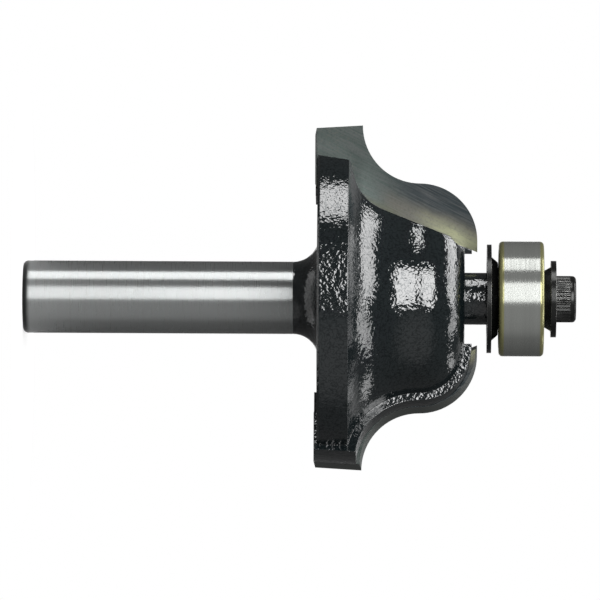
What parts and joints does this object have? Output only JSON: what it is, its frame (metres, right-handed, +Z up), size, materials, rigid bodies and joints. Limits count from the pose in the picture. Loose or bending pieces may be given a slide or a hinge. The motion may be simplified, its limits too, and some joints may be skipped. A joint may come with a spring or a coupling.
{
  "type": "router bit",
  "caption": "Roman ogee router bit: round shank, chip-limiting disc, carbide-tipped wings in a cove-and-bead form, and a screwed-on guide bearing.",
  "frame": {"origin": "middle of the shank's end face, on the tool axis", "axes": "+Z up the tool axis from the shank to the bearing screw, +X along the wing that cuts towards +Y; seen from the shank the tool turns clockwise"},
  "size_m": [0.0382, 0.0352, 0.061],
  "materials": {
    "coated_steel": "glossy black coating with a fine orange-peel grain",
    "carbide": "ground tungsten carbide, satin",
    "black_washer": "black oxide, satin",
    "black_screw": "black oxide, satin",
    "bearing_steel": "ground bearing steel",
    "pressed_steel": "pressed sheet steel",
    "spring_wire": "spring wire",
    "ball_steel": "polished ball steel"
  },
  "bodies": {
    "cutter": {"cutter_body": "coated_steel", "carbide_tip_a": "carbide", "carbide_tip_b": "carbide", "inner_washer": "black_washer", "outer_washer": "black_washer", "cap_screw": "black_screw", "bearing_inner_ring": "bearing_steel"},
    "outer_ring": {"bearing_outer_ring": "bearing_steel", "bearing_shield_upper": "pressed_steel", "bearing_shield_lower": "pressed_steel", "shield_ring_upper": "spring_wire", "shield_ring_lower": "spring_wire"},
    "cage": {"bearing_cage_upper": "pressed_steel", "bearing_cage_lower": "pressed_steel"},
    "ball_1": {"bearing_ball_1": "ball_steel"},
    "ball_2": {"bearing_ball_2": "ball_steel"},
    "ball_3": {"bearing_ball_3": "ball_steel"},
    "ball_4": {"bearing_ball_4": "ball_steel"},
    "ball_5": {"bearing_ball_5": "ball_steel"},
    "ball_6": {"bearing_ball_6": "ball_steel"},
    "ball_7": {"bearing_ball_7": "ball_steel"}
  },
  "joints": [
    {"name": "outer_ring_spin", "type": "hinge", "parent": "cutter", "child": "outer_ring", "pos_m": [0, 0, 0.05494], "axis": [0, 0, 1], "continuous": true},
    {"name": "cage_spin", "type": "hinge", "parent": "cutter", "child": "cage", "pos_m": [0, 0, 0.05494], "axis": [0, 0, 1], "continuous": true},
    {"name": "ball_1_spin", "type": "hinge", "parent": "cage", "child": "ball_1", "pos_m": [0.00437, 0, 0.05494], "axis": [0, 0, 1], "continuous": true},
    {"name": "ball_2_spin", "type": "hinge", "parent": "cage", "child": "ball_2", "pos_m": [0.00272, 0.00341, 0.05494], "axis": [0, 0, 1], "continuous": true},
    {"name": "ball_3_spin", "type": "hinge", "parent": "cage", "child": "ball_3", "pos_m": [-0.00097, 0.00426, 0.05494], "axis": [0, 0, 1], "continuous": true},
    {"name": "ball_4_spin", "type": "hinge", "parent": "cage", "child": "ball_4", "pos_m": [-0.00393, 0.00189, 0.05494], "axis": [0, 0, 1], "continuous": true},
    {"name": "ball_5_spin", "type": "hinge", "parent": "cage", "child": "ball_5", "pos_m": [-0.00393, -0.00189, 0.05494], "axis": [0, 0, 1], "continuous": true},
    {"name": "ball_6_spin", "type": "hinge", "parent": "cage", "child": "ball_6", "pos_m": [-0.00097, -0.00426, 0.05494], "axis": [0, 0, 1], "continuous": true},
    {"name": "ball_7_spin", "type": "hinge", "parent": "cage", "child": "ball_7", "pos_m": [0.00272, -0.00341, 0.05494], "axis": [0, 0, 1], "continuous": true}
  ],
  "couplings": [
    {"joint": "cage_spin", "follows": "outer_ring_spin", "ratio": 0.63635},
    {"joint": "ball_1_spin", "follows": "outer_ring_spin", "ratio": 1.6971},
    {"joint": "ball_2_spin", "follows": "outer_ring_spin", "ratio": 1.6971},
    {"joint": "ball_3_spin", "follows": "outer_ring_spin", "ratio": 1.6971},
    {"joint": "ball_4_spin", "follows": "outer_ring_spin", "ratio": 1.6971},
    {"joint": "ball_5_spin", "follows": "outer_ring_spin", "ratio": 1.6971},
    {"joint": "ball_6_spin", "follows": "outer_ring_spin", "ratio": 1.6971},
    {"joint": "ball_7_spin", "follows": "outer_ring_spin", "ratio": 1.6971}
  ]
}
